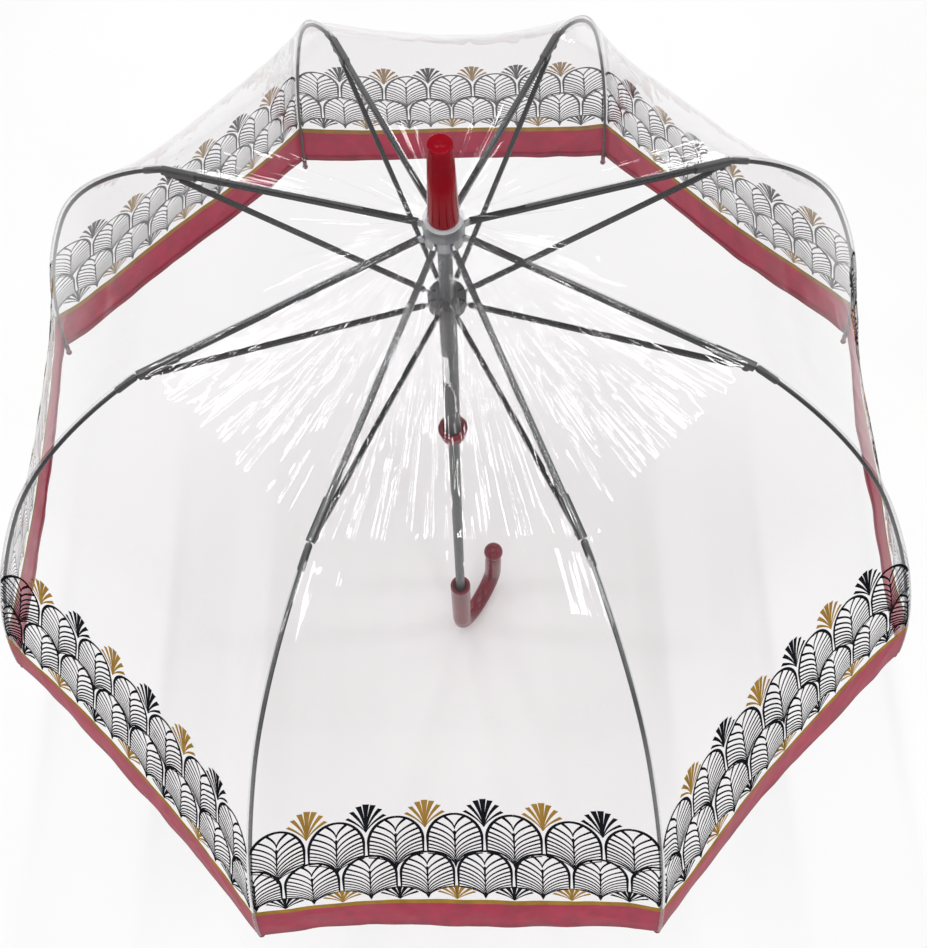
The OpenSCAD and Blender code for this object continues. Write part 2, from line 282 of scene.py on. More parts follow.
def lathe(name, outline, material, sides=64):
    """A turned piece on the Z axis from [radius, height] points, with its faces outward."""
    turn = np.arange(sides) * 2 * math.pi / sides
    outline = np.asarray(outline, float)
    points = np.stack([np.outer(outline[:, 0], np.cos(turn)), np.outer(outline[:, 0], np.sin(turn)),
                       np.repeat(outline[:, 1:], sides, 1)], -1)
    r, z = outline[:, 0], outline[:, 1]
    turned = np.sum(r * np.roll(z, -1) - np.roll(r, -1) * z) < 0
    faces = grid_faces(len(outline), sides, close_rows=True, flip=turned)
    return new_object(name, points, faces, [material])


def rounded(points, radius, steps=5):
    """An open outline with its inner corners rounded by radius, as far as its sides allow."""
    points = [np.asarray(p, float) for p in points]
    out = [points[0]]
    for a, b, c in zip(points, points[1:], points[2:]):
        la, lc = np.linalg.norm(a - b), np.linalg.norm(c - b)
        cut = min(radius, la * 0.45, lc * 0.45)
        start, end = b + (a - b) * cut / la, b + (c - b) * cut / lc
        for t in np.linspace(0, 1, steps):
            out.append((1 - t) ** 2 * start + 2 * t * (1 - t) * b + t * t * end)
    return out + [points[-1]]


def sweep(path, radii, sides, normal):
    """Rings round a path that stays in one plane, whose normal is given."""
    path = np.asarray(path, float)
    tangent = np.gradient(path, axis=0)
    tangent /= np.linalg.norm(tangent, axis=1, keepdims=True)
    normal = np.asarray(normal, float)
    binormal = np.cross(tangent, normal)
    turn = np.arange(sides) * 2 * math.pi / sides
    return path[:, None] + np.asarray(radii)[:, None, None] * (
        np.cos(turn)[None, :, None] * normal + np.sin(turn)[None, :, None] * binormal[:, None])


# ---- materials ----
class Nodes:
    """A material's node tree, with short ways to add nodes and links."""

    def __init__(self, name):
        self.material = bpy.data.materials.new(name)
        self.material.use_nodes = True
        self.tree = self.material.node_tree
        self.tree.nodes.clear()
        self.output = self.add("ShaderNodeOutputMaterial")
        self.coordinates = None

    def add(self, kind, **values):
        node = self.tree.nodes.new(kind)
        for key, value in values.items():
            setattr(node, key, value)
        return node

    def link(self, source, target):
        self.tree.links.new(source, target)

    def place(self, scale=(1, 1, 1)):
        if self.coordinates is None:
            self.coordinates = self.add("ShaderNodeTexCoord").outputs["Object"]
        mapping = self.add("ShaderNodeMapping")
        mapping.inputs["Scale"].default_value = scale
        self.link(self.coordinates, mapping.inputs["Vector"])
        return mapping.outputs["Vector"]

    def noise(self, size, detail=3.0, stretch=(1, 1, 1)):
        node = self.add("ShaderNodeTexNoise")
        node.inputs["Scale"].default_value = 1.0 / size
        node.inputs["Detail"].default_value = detail
        self.link(self.place(stretch), node.inputs["Vector"])
        return node.outputs["Fac"]

    def streaks(self, across, down, detail=2.0):
        """Noise drawn out down the canopy, from the film's own coordinates."""
        node = self.add("ShaderNodeTexNoise")
        node.inputs["Scale"].default_value = 1.0
        node.inputs["Detail"].default_value = detail
        mapping = self.add("ShaderNodeMapping")
        mapping.inputs["Scale"].default_value = (across, down, 1)
        self.link(self.add("ShaderNodeTexCoord").outputs["UV"], mapping.inputs["Vector"])
        self.link(mapping.outputs["Vector"], node.inputs["Vector"])
        return node.outputs["Fac"]

    def ramp(self, source, stops):
        """Maps a value through colour stops, given as (place, grey or colour)."""
        node = self.add("ShaderNodeValToRGB")
        elements = node.color_ramp.elements
        while len(elements) < len(stops):
            elements.new(0.5)
        for element, (place, colour) in zip(elements, stops):
            element.position = place
            element.color = colour if hasattr(colour, "__len__") else (colour, colour, colour, 1)
        self.link(source, node.inputs["Fac"])
        return node.outputs["Color"]

    def bump(self, source, height, strength=1.0):
        node = self.add("ShaderNodeBump")
        node.inputs["Distance"].default_value = height
        node.inputs["Strength"].default_value = strength
        self.link(source, node.inputs["Height"])
        return node.outputs["Normal"]

    def principled(self, **values):
        node = self.add("ShaderNodeBsdfPrincipled")
        for key, value in values.items():
            node.inputs[key.replace("_", " ")].default_value = value
        return node

    def finish(self, shader):
        self.link(shader, self.output.inputs["Surface"])
        return self.material


def shade(colour, factor):
    return tuple(min(1.0, c * factor) for c in colour[:3]) + (1,)


def coated(name, colour, rough, spread=0.25, size=0.004, bump=0.00003, coat=0.0, metal=0.0,
           stretch=(1, 1, 1), **more):
    """A solid finish: its colour and roughness wander a little, over a fine surface grain."""
    n = Nodes(name)
    body = n.principled(Metallic=metal, Coat_Weight=coat, Coat_Roughness=0.04, **more)
    tone = n.noise(size * 6, 4, stretch)
    grain = n.noise(size, 3, stretch)
    n.link(n.ramp(tone, [(0.3, shade(colour, 1 - spread)), (0.7, shade(colour, 1 + spread))]),
           body.inputs["Base Color"])
    n.link(n.ramp(grain, [(0.3, rough * 0.8), (0.75, min(1, rough * 1.35))]), body.inputs["Roughness"])
    n.link(n.bump(grain, bump), body.inputs["Normal"])
    return n.finish(body.outputs["BSDF"])


# The film's share of gloss: least face on, and growing towards its edge-on view
GLOSS_FACE_ON = 0.045
GLOSS_AT_EDGE = 0.42
GLOSS_POWER = 4.0


def film_material(name, tint, haze, rough=0.035, crease=0.0016):
    """Thin clear film: see-through, with a gloss on both faces and a slightly milky bloom in patches."""
    n = Nodes(name)
    clear = n.add("ShaderNodeBsdfTransparent")
    clear.inputs["Color"].default_value = tint
    milk = n.add("ShaderNodeBsdfDiffuse")
    milk.inputs["Color"].default_value = (0.93, 0.94, 0.95, 1)
    gloss = n.add("ShaderNodeBsdfGlossy")
    gloss.inputs["Roughness"].default_value = rough
    gloss.inputs["Color"].default_value = (1, 1, 1, 1)
    bloom = n.ramp(n.noise(0.06, 5), [(0.35, haze * 0.5), (0.75, haze * 1.7)])
    inside = n.add("ShaderNodeMixShader")
    n.link(bloom, inside.inputs[0])
    n.link(clear.outputs[0], inside.inputs[1])
    n.link(milk.outputs[0], inside.inputs[2])
    facing = n.add("ShaderNodeLayerWeight")
    facing.inputs["Blend"].default_value = 0.5
    creases = n.bump(n.streaks(9, 4.5, 2.0), crease, 0.65)
    n.link(creases, gloss.inputs["Normal"])
    steep = n.add("ShaderNodeMath", operation="POWER")
    steep.inputs[1].default_value = GLOSS_POWER
    n.link(facing.outputs["Facing"], steep.inputs[0])
    share = n.add("ShaderNodeMath", operation="MULTIPLY_ADD", use_clamp=True)
    share.inputs[1].default_value = GLOSS_AT_EDGE
    share.inputs[2].default_value = GLOSS_FACE_ON
    n.link(steep.outputs[0], share.inputs[0])
    whole = n.add("ShaderNodeMixShader")
    n.link(share.outputs[0], whole.inputs[0])
    n.link(inside.outputs[0], whole.inputs[1])
    n.link(gloss.outputs[0], whole.inputs[2])
    return n.finish(whole.outputs[0])


def ink_material(name, colour, cover, rough=0.35, streak=0.25, gloss=0.0, glow=0.0):
    """Printing ink on film: nearly opaque, glossy like the film, a little uneven."""
    n = Nodes(name)
    clear = n.add("ShaderNodeBsdfTransparent")
    clear.inputs["Color"].default_value = shade(colour, 1.6)
    body = n.principled(Roughness=rough, Specular_IOR_Level=gloss)
    tone = n.noise(0.012, 4, (1, 1, 0.35))
    tint = n.ramp(tone, [(0.3, shade(colour, 1 - streak)), (0.72, shade(colour, 1 + streak))])
    n.link(tint, body.inputs["Base Color"])
    n.link(n.bump(n.noise(0.006, 3), 0.0002, 0.3), body.inputs["Normal"])
    through = n.add("ShaderNodeBsdfTranslucent")
    n.link(tint, through.inputs["Color"])
    lit = n.add("ShaderNodeMixShader")
    lit.inputs[0].default_value = glow
    n.link(body.outputs[0], lit.inputs[1])
    n.link(through.outputs[0], lit.inputs[2])
    cover_map = n.ramp(n.noise(0.02, 4), [(0.3, cover - 0.06), (0.7, min(1, cover + 0.06))])
    mix = n.add("ShaderNodeMixShader")
    n.link(cover_map, mix.inputs[0])
    n.link(clear.outputs[0], mix.inputs[1])
    n.link(lit.outputs[0], mix.inputs[2])
    return n.finish(mix.outputs[0])


FILM = film_material("clear_film", (0.94, 0.932, 0.937, 1), 0.008)
WELD = film_material("welded_seam", (0.84, 0.85, 0.86, 1), 0.05, rough=0.2, crease=0.0003)
# Painted highlight: the washer's haze is set high so that it reads milky white, in place of the glare round
# the ferrule's base
WASHER_PAINTED_GLARE = film_material("washer_painted_glare", (0.92, 0.93, 0.94, 1), 0.30, rough=0.06, crease=0.0)
BAND = ink_material("hem_band_print", (0.36, 0.004, 0.042, 1), 0.95, streak=0.2, gloss=0.12, glow=0.3)
LINE = ink_material("gold_print", GOLD, 0.93, rough=0.45, streak=0.2)
INKED = ink_material("black_print", INK, 0.97, rough=0.8, streak=0.3)
HANDLE = coated("handle_gloss", RED_BURGUNDY, 0.2, spread=0.25, size=0.003, bump=0.00002,
                Specular_IOR_Level=0.28)
FERRULE = coated("ferrule_gloss", (0.22, 0.0, 0.006, 1), 0.12, spread=0.12, size=0.003, bump=0.00001,
                 Specular_IOR_Level=0.11)
TIP = coated("tip_gloss", (0.15, 0.006, 0.022, 1), 0.25, spread=0.2, size=0.002, coat=0.2)
SHAFT = coated("shaft_enamel", (0.042, 0.05, 0.05, 1), 0.34, spread=0.25, size=0.0015, bump=0.00002,
               stretch=(1, 1, 0.12))
SLEEVE = coated("sleeve_enamel", (0.030, 0.034, 0.036, 1), 0.36, spread=0.4, size=0.0012, bump=0.00003,
                stretch=(1, 1, 0.12))
BLACK = coated("black_moulding", (0.011, 0.011, 0.013, 1), 0.38, spread=0.3, size=0.0012, bump=0.00003)
ZINC = coated("cast_zinc", (0.30, 0.31, 0.32, 1), 0.33, spread=0.25, size=0.0012, bump=0.00004, metal=0.7)
# A lighter metal finish for the ribs' and stretchers' inner ends, next to the notch and hub
LIGHT_ENDS = coated("light_inner_ends", (0.34, 0.35, 0.36, 1), 0.26, spread=0.35, size=0.001, metal=0.8)
STEEL = coated("bare_steel", (0.52, 0.52, 0.53, 1), 0.28, spread=0.15, size=0.0008, metal=1.0)
PAINT = coated("black_paint", (0.004, 0.0045, 0.0055, 1), 0.25, spread=0.4, size=0.002, bump=0.00004,
               Specular_IOR_Level=0.25)
ROD = coated("rod_paint", (0.010, 0.011, 0.013, 1), 0.28, spread=0.4, size=0.0015, Specular_IOR_Level=0.3)
PAPER = coated("blank_label", (0.72, 0.73, 0.72, 1), 0.6, spread=0.04, size=0.002)

CAD_LOOKS = {
    "shaft": SHAFT, "top_notch": ZINC, "notch_ring": STEEL, "runner_hub": BLACK, "runner_ring": STEEL,
    "runner_sleeve": SLEEVE, "top_catch": STEEL, "bottom_catch": STEEL,
    "rib": PAINT, "rib_joint": BLACK, "stretcher": PAINT,
}
LIGHT_END_LENGTHS = {"rib": 0.016, "stretcher": 0.010}      # a lighter metal finish at the inner ends, out from the hub


def dress_cad():
    """Materials for the CAD nodes that show, with a lighter metal finish at the ribs' and stretchers' inner
    ends.
    """
    for name, node in frame["nodes"].items():
        kind = name if name in CAD_LOOKS else name.rsplit("_", 1)[0]
        if kind in CAD_LOOKS:
            node.data.materials.clear()
            node.data.materials.append(CAD_LOOKS[kind])
        if kind in LIGHT_END_LENGTHS:
            node.data.materials.append(LIGHT_ENDS)
            middle = "top_notch" if kind == "rib" else "runner_hub"
            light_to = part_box(middle)[1].x + LIGHT_END_LENGTHS[kind]
            for face in node.data.polygons:
                x, y = (node.matrix_world @ face.center).xy
                face.material_index = int(math.hypot(x, y) < light_to)


# ---- film pieces ----
W_COLUMNS = np.linspace(0, 1, 27) ** 1.25


def film_places(rib, side, p, w):
    """Coordinates on the canopy for its materials: half gores round it, and metres down it."""
    return np.stack(np.broadcast_arrays(2 * rib - 1 + side * w, p), -1)


def film_patch(name, rib, side, p, materials, faces_material=None, out=None, w=W_COLUMNS):
    """One piece of a half gore. p is a grid of places, rows down the gore by columns out from the rib."""
    w = np.broadcast_to(w, p.shape)
    points = film_at(rib, side, p, w, 0.0 if out is None else out)
    normals = film_normals(rib, side, p, w)
    if out is not None:
        normals = np.where((np.asarray(out) < INWARD_LAYER)[..., None], -normals, normals)
    faces = grid_faces(*p.shape, flip=side > 0)
    return new_object(name, points, faces, materials, faces_material, normals, film_places(rib, side, p, w))


def crown_petal(rib):
    """The film from the ferrule out over the notch, across one rib."""
    rows = np.linspace(FILM_START, ZONES["inner"][0], 12)
    halves = []
    for side in (-1, 1):
        w = W_COLUMNS[::2]
        p = np.repeat(rows[:, None], len(w), 1)
        halves.append((film_at(rib, side, p, w), film_normals(rib, side, p, w), film_places(rib, side, p, w)))
    points, normals, places = (np.concatenate([halves[0][i][:, :0:-1], halves[1][i]], 1) for i in range(3))
    obj = new_object(f"film_crown_{rib + 1}", points, grid_faces(*points.shape[:2], flip=True), [FILM],
                     normals=normals, places=places)
    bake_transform(obj)
    return obj


# Each zone of a half gore: the stretch of p that it covers, its body, the share of its spread that is left
# when the umbrella is closed, the tilt of the direction it closes in, and the slope and place it closes about
ZONES = {
    "inner": (0.024, 0.090, "rib", 0.34, 0, RIB_SLOPE, 0.060),
    "outer": (0.090, ROD_START, "rib", 0.16, 0, RIB_SLOPE, 0.150),
    "shoulder": (ROD_START, FLEX_AT, "rod_upper", 0.14, math.radians(13), math.radians(45), ROD_START),
    "skirt": (FLEX_AT, HEM_AT, "rod_lower", 0.13, math.radians(16), math.radians(73), 0.600),
}


def fold_with(obj, zone, rib):
    """The piece rides on the zone's body."""
    _, _, body, keep, tilt, slope, about = ZONES[zone]
    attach(obj, f"{body}_{rib + 1}")
    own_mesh(obj)


def half_gore(rib, side):
    """The film from a rib out to the middle of a gore, in four zones, each riding on its zone's body."""
    tag = f"{rib + 1}_{'left' if side < 0 else 'right'}"
    pieces = []
    for zone, rows in (("inner", 12), ("outer", 18), ("shoulder", 36)):
        a, b = ZONES[zone][:2]
        p = np.repeat(np.linspace(a, b, rows)[:, None], len(W_COLUMNS), 1)
        pieces.append((zone, film_patch(f"film_{zone}_{tag}", rib, side, p, [FILM])))
    pieces.append(("skirt", skirt(rib, side, tag)))
    for zone, obj in pieces:
        fold_with(obj, zone, rib)
        a, b = ZONES[zone][:2]


CLEAR_ROWS = 28


def skirt(rib, side, tag):
    """The last stretch, down to the turned hem, with the printed band and its gold line."""
    hem = hem_place(W_COLUMNS)
    top = hem - BAND_H - GOLD_H
    clear_rows = [FLEX_AT + t * (top - FLEX_AT) for t in np.linspace(0, 1, CLEAR_ROWS)]
    gold_row = [hem - BAND_H]
    band_rows = [hem - u for u in np.linspace(BAND_H, 0, 13)[1:]]
    turned = [hem + 0.0002, hem - 0.004, hem - 0.009]
    p = np.stack(clear_rows + gold_row + band_rows + turned)
    out = np.zeros_like(p)
    out[-3:] = np.array([-0.0006, -0.0011, -0.0011])[:, None]
    kinds = [0] * (CLEAR_ROWS - 1) + [1] + [2] * (len(p) - CLEAR_ROWS - 1)
    cells = np.repeat(kinds, len(W_COLUMNS) - 1)
    return film_patch(f"film_skirt_{tag}", rib, side, p, [FILM, LINE, BAND], cells, out)


# ---- the printed border, drawn in gore coordinates: q across, u up from the hem ----
FAN_RIBS = 10
PRINT_LIFT = 0.00016               # the ink stands this far off the film
SEAM_CLEAR = 0.012                 # share of the half gore beside the rib that the ink leaves to the seam


def taper(start, end, count, power=1.0):
    return start + (end - start) * np.linspace(0, 1, count) ** power


def fan_strokes(q0, half, tip, shoulder, arch, top):
    """A scallop: pointed below between its neighbours' arches, round above, ribbed from its middle."""
    tall = top - tip
    t = np.linspace(0, 1, 12)
    bow = np.linspace(0, math.pi / 2, 14)
    side_x = np.concatenate([t, [1.0], np.cos(bow)])
    side_y = np.concatenate([tip + (shoulder - tip) * np.sqrt(1 - (1 - t) ** 2), [(shoulder + arch) / 2],
                             arch + (top - arch) * np.sin(bow)])
    outline_w = np.interp(side_y, [tip, shoulder, arch, top], [0.0004, 0.0012, 0.0020, 0.0029])
    stem_y = np.linspace(tip + 0.2 * tall, top - 0.3 * tall, 8)
    strokes = [(np.full(8, q0), stem_y, taper(0.0004, 0.0017, 8))]
    for mirror in (-1, 1):
        strokes.append((q0 + mirror * half * side_x, side_y, outline_w))
        for t in np.linspace(0, 1, FAN_RIBS):
            ey = top - tall * (0.035 + 0.85 * t - 0.17 * t * t)
            ex = math.sqrt(1 - max(0.0, (ey - arch) / (top - arch)) ** 2)
            sy = top - tall * (0.27 + 0.70 * (1 - (1 - t) ** 1.9))
            s = np.linspace(0, 1, 10)
            x = ex * (0.06 * s * (1 - s) ** 2 + 1.2 * s * s * (1 - s) + s ** 3)
            y = sy + (ey - sy) * (1.1 * s * (1 - s) ** 2 + (2.1 + 0.5 * t) * s * s * (1 - s) + s ** 3)
            strokes.append((q0 + mirror * half * x, y, taper(0.0006, 0.0027 - 0.0009 * t, 10)))
    return strokes


def palmette_strokes(q0, base, tall, reach):
    """A small tuft of seven blunt wedges that spread from one foot."""
    strokes = []
    for turn in np.radians([-66, -44, -21, 0, 21, 44, 66]):
        ex, ey = reach * math.sin(turn), tall * (0.28 + 0.72 * math.cos(turn))
        s = np.linspace(0, 1, 7)
        x = 2 * s * (1 - s) * 0.24 * ex + s * s * ex
        y = base + 2 * s * (1 - s) * 0.55 * ey + s * s * ey
        strokes.append((q0 + x, y, taper(0.0005, 0.0046 - 0.0016 * abs(math.sin(turn)), 7, 1.35)))
    return strokes


# Heights up from the hem's edge, in metres; half and reach are shares of the half gore's width
LOWER_FAN = {"half": 0.129, "tip": 0.068, "shoulder": 0.090, "arch": 0.112, "top": 0.144}
UPPER_FAN = {"half": 0.133, "tip": 0.119, "shoulder": 0.145, "arch": 0.164, "top": 0.197}
LOWER_TUFT = {"base": 0.067, "tall": 0.024, "reach": 0.098}
UPPER_TUFT = {"base": 0.180, "tall": 0.037, "reach": 0.102}
LOWER_FANS = [(2 * i - 7) * 0.1395 for i in range(8)]
UPPER_FANS = [(i - 3) * 0.2875 for i in range(7)]


def border_strokes():
    """Every stroke of one gore's border, with the ink that it is printed in."""
    black, gold = [], []
    for q0 in LOWER_FANS:
        black += fan_strokes(q0, **LOWER_FAN)
    for q0 in UPPER_FANS:
        black += fan_strokes(q0, **UPPER_FAN)
    for i, (a, b) in enumerate(zip(UPPER_FANS, UPPER_FANS[1:])):
        (black if i % 2 else gold).extend(palmette_strokes((a + b) / 2, **UPPER_TUFT))
    for i, (a, b) in enumerate(zip(LOWER_FANS, LOWER_FANS[1:])):
        (gold if i % 2 else black).extend(palmette_strokes((a + b) / 2, **LOWER_TUFT))
    return [(s, 0) for s in black] + [(s, 1) for s in gold]


def joined(strokes):
    """All strokes end to end: places q and u, widths, inks, and whether each point goes on to the next."""
    q, u, width = (np.concatenate([stroke[i] for stroke, _ in strokes]) for i in range(3))
    ink = np.concatenate([np.full(len(stroke[0]), kind) for stroke, kind in strokes])
    goes_on = np.concatenate([np.arange(len(stroke[0])) < len(stroke[0]) - 1 for stroke, _ in strokes])
    return q, u, width, ink, goes_on


def print_half(rib, side, strokes):
    """The strokes that fall on one half gore, as thin ribbons of ink on the film."""
    q, u, width, ink, goes_on = strokes
    w = q + 1 if side > 0 else 1 - q
    keep = (w <= 1.0005) & (w >= SEAM_CLEAR)
    w = np.clip(w, SEAM_CLEAR, 1.0)
    p = hem_place(w) - u
    centre = film_at(rib, side, p, w, PRINT_LIFT)
    normal = film_normals(rib, side, p, w)
    ahead = np.zeros_like(centre)
    ahead[:-1] = centre[1:] - centre[:-1]
    ahead[~goes_on] = 0
    tangent = ahead + np.roll(ahead, 1, axis=0)
    across = np.cross(tangent, normal)
    across *= (width / 2 / np.maximum(np.linalg.norm(across, axis=1), 1e-9))[:, None]
    points = np.stack([centre - across, centre + across], 1).reshape(-1, 3)
    drawn = goes_on & (keep | np.roll(keep, -1)) & (np.linalg.norm(ahead, axis=1) > 1e-6)
    first = np.nonzero(drawn)[0]
    faces = np.stack([2 * first, 2 * first + 1, 2 * first + 3, 2 * first + 2], 1)
    used, faces = np.unique(faces, return_inverse=True)
    tag = f"{rib + 1}_{'left' if side < 0 else 'right'}"
    obj = new_object(f"print_border_{tag}", points[used], faces.reshape(-1, 4), [INKED, LINE], ink[first])
    fold_with(obj, "skirt", rib)


def rod_place(s):
    return rod_line(s) if s >= 0 else ROOT + s * along(ROD_SLOPES[0])


def bend_between(obj, rib, a, b, s0, s1):
    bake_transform(obj)


SPLIT_AT = 0.114                   # the rod and its seam are two pieces, which meet here
CLIP_BEND = (-0.003, 0.010)        # stretches of the rod: at the rib joint, and where it flexes
MID_BEND = (ROD_FLEX - 0.008, ROD_FLEX + 0.008)
SEAM_HALF = 0.0019


def seam(rib, name, p0, p1):
    """The ribbed weld over one rib, where two gores of film meet."""
    pitch = 0.0018
    rows = np.arange(p0, p1 + pitch / 2, pitch / 2)
    ridge = 0.00016 + 0.00012 * (np.arange(len(rows)) % 2)
    columns = []
    for x in np.array([-1, -0.7, 0, 0.7, 1]) * SEAM_HALF:
        w = abs(x) / np.maximum(profile(rows)[:, 0] * math.sin(HALF_STEP), 0.003)
        columns.append(film_at(rib, 1 if x >= 0 else -1, rows, w, ridge if abs(x) < SEAM_HALF else 0.0001))
    faces = grid_faces(len(rows), len(columns), flip=True)
    return new_object(f"{name}_{rib + 1}", np.stack(columns, 1), faces, [WELD])


def rod_rings(rib, s, radius, sides=12):
    line = np.array([rod_place(v) for v in s])
    turn = rib_angle(rib)
    path = to_world(rib, line[:, 0], np.zeros(len(s)), line[:, 1])
    return sweep(path, radius, sides, (-math.sin(turn), math.cos(turn), 0))


def rod_pieces(rib):
    """The sprung rod with its root sleeve and moulded tip, in two pieces."""
    sides = 12
    s_root = np.array([-0.0022, -0.0014, 0, 0.004, 0.0148, 0.0158, 0.0160])
    r_root = np.array([0.0006, 0.0019, 0.0024, 0.0024, 0.0024, 0.0020, 0.0015])
    s_rod = np.linspace(0.0164, SPLIT_AT, 18)
    s = np.concatenate([s_root, s_rod])
    radius = np.concatenate([r_root, np.full(len(s_rod), ROD_R)])
    faces = grid_faces(len(s), sides, close_rows=True)
    kinds = [0] * ((len(s_root) - 1) * sides) + [1] * (len(faces) - (len(s_root) - 1) * sides)
    upper = new_object(f"rod_shoulder_{rib + 1}", rod_rings(rib, s, radius), faces, [BLACK, ROD], kinds)
    bend_between(upper, rib, "rib", "rod_upper", *CLIP_BEND)
    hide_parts(f"rod_upper_{rib + 1}")

    length = sum(ROD_LENGTHS)
    s_rod = np.linspace(SPLIT_AT, length - 0.0145, 56)
    r_rod = np.linspace(ROD_R, 0.0013, len(s_rod))
    ball = np.linspace(-0.75, math.pi / 2, 9)
    s_tip = np.concatenate([[length - 0.0142, length - 0.0138, length - 0.0126, length - 0.006],
                            length - 0.0003 + 0.003 * np.sin(ball)])
    r_tip = np.concatenate([[0.0014, 0.0021, 0.0024, 0.0024], 0.003 * np.cos(ball) + 0.00001])
    s = np.concatenate([s_rod, s_tip])
    faces = grid_faces(len(s), sides, close_rows=True)
    first = (len(s_rod) - 1) * sides
    lower = new_object(f"rod_skirt_{rib + 1}", rod_rings(rib, s, np.concatenate([r_rod, r_tip])), faces,
                       [ROD, TIP], [0] * first + [1] * (len(faces) - first))
    bend_between(lower, rib, "rod_upper", "rod_lower", *MID_BEND)
    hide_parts(f"rod_lower_{rib + 1}")


def seams(rib):
    upper = seam(rib, "seam_shoulder", 0.045, ROD_START + SPLIT_AT)
    bend_between(upper, rib, "rib", "rod_upper", *CLIP_BEND)
    lower = seam(rib, "seam_skirt", ROD_START + SPLIT_AT, HEM_AT - 0.0005)
    bend_between(lower, rib, "rod_upper", "rod_lower", *MID_BEND)


# ---- turned pieces on the shaft ----
def ferrule():
    """The tapered cap, with a small nib in the middle of its flat end."""
    low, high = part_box("ferrule")
    base, top = low.z, high.z
    wide, narrow = high.x, 0.0077
    outline = rounded([(0.0052, base), (wide, base), (narrow, top - 0.0005), (narrow - 0.0007, top),
                       (0.0052, top - 0.0002)], 0.0007, 6)
    outline += [(0.0016, top - 0.0004), (0.0011, top - 0.0001), (0.0007, top), (0.00001, top)]
    obj = lathe("ferrule_cap", outline, FERRULE, 72)
    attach(obj, "root")
    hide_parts("ferrule")


def rosette():
    """The clear washer under the ferrule, slightly dished and rippled at its rim; its strong milky white haze
    is a painted highlight, for the glare round the ferrule's base.
    """
    low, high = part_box("canopy_rosette")
    t = np.linspace(0, 1, 9)
    top = [(BORE_R + (high.x - 0.0058) * v, high.z - 0.0002 + 0.0002 * math.cos(3 * v)) for v in t]
    rim = [(high.x - 0.0001, high.z - 0.0003), (high.x, (low.z + high.z) / 2), (high.x - 0.0002, low.z)]
    under = [(BORE_R + (high.x - 0.0058) * v, low.z) for v in t[::-1]]
    obj = lathe("crown_washer", top + rim + under, WASHER_PAINTED_GLARE)
    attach(obj, "root")
    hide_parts("canopy_rosette")


def collar():
    """The runner's moulded collar, a cup below with a wider ring above."""
    low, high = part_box("runner_collar")
    wide = high.x
    cup = wide - 0.002
    outline = rounded([
        (BORE_R, low.z), (cup - 0.0026, low.z), (cup - 0.0004, low.z + 0.0018), (cup, low.z + 0.0045),
        (cup, high.z - 0.0086), (wide - 0.0012, high.z - 0.0070), (wide, high.z - 0.0048),
        (wide - 0.0001, high.z - 0.0022), (wide - 0.0018, high.z), (0.0092, high.z),
        (0.0080, high.z - 0.0014), (0.0065, high.z - 0.0030), (0.0065, high.z - 0.006)], 0.0012, 5)
    obj = lathe("runner_collar_moulding", outline, HANDLE, 72)
    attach(obj, "runner")
    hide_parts("runner_collar")


def label():
    """A blank paper label wrapped part of the way round the runner's sleeve."""
    low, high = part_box("runner_sleeve")
    radius = high.x + 0.0001
    z1 = low.z + 0.49 * (high.z - low.z)
    rows, columns = 9, 13
    turn = np.radians(np.linspace(188, 262, columns))
    points = [[radius * math.cos(a), radius * math.sin(a), z1 + 0.040 * i / (rows - 1) + 0.0012 * j / columns]
              for i in range(rows) for j, a in enumerate(turn)]
    points = np.array(points)
    inner = points * np.array([0.9985, 0.9985, 1])
    faces = grid_faces(rows, columns) + grid_faces(rows, columns, start=len(points), flip=True)
    obj = new_object("sleeve_label", np.concatenate([points, inner]), faces, [PAPER])
    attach(obj, "runner")


CROOK_TURN = math.radians(58)
CROOK_SPAN = 0.075
GRIP_R = 0.010
BLEND_H = 0.009                    # the stem narrows to the grip over this height
GROOVE_AT = math.radians(52)       # latitude of the fine groove round the knob


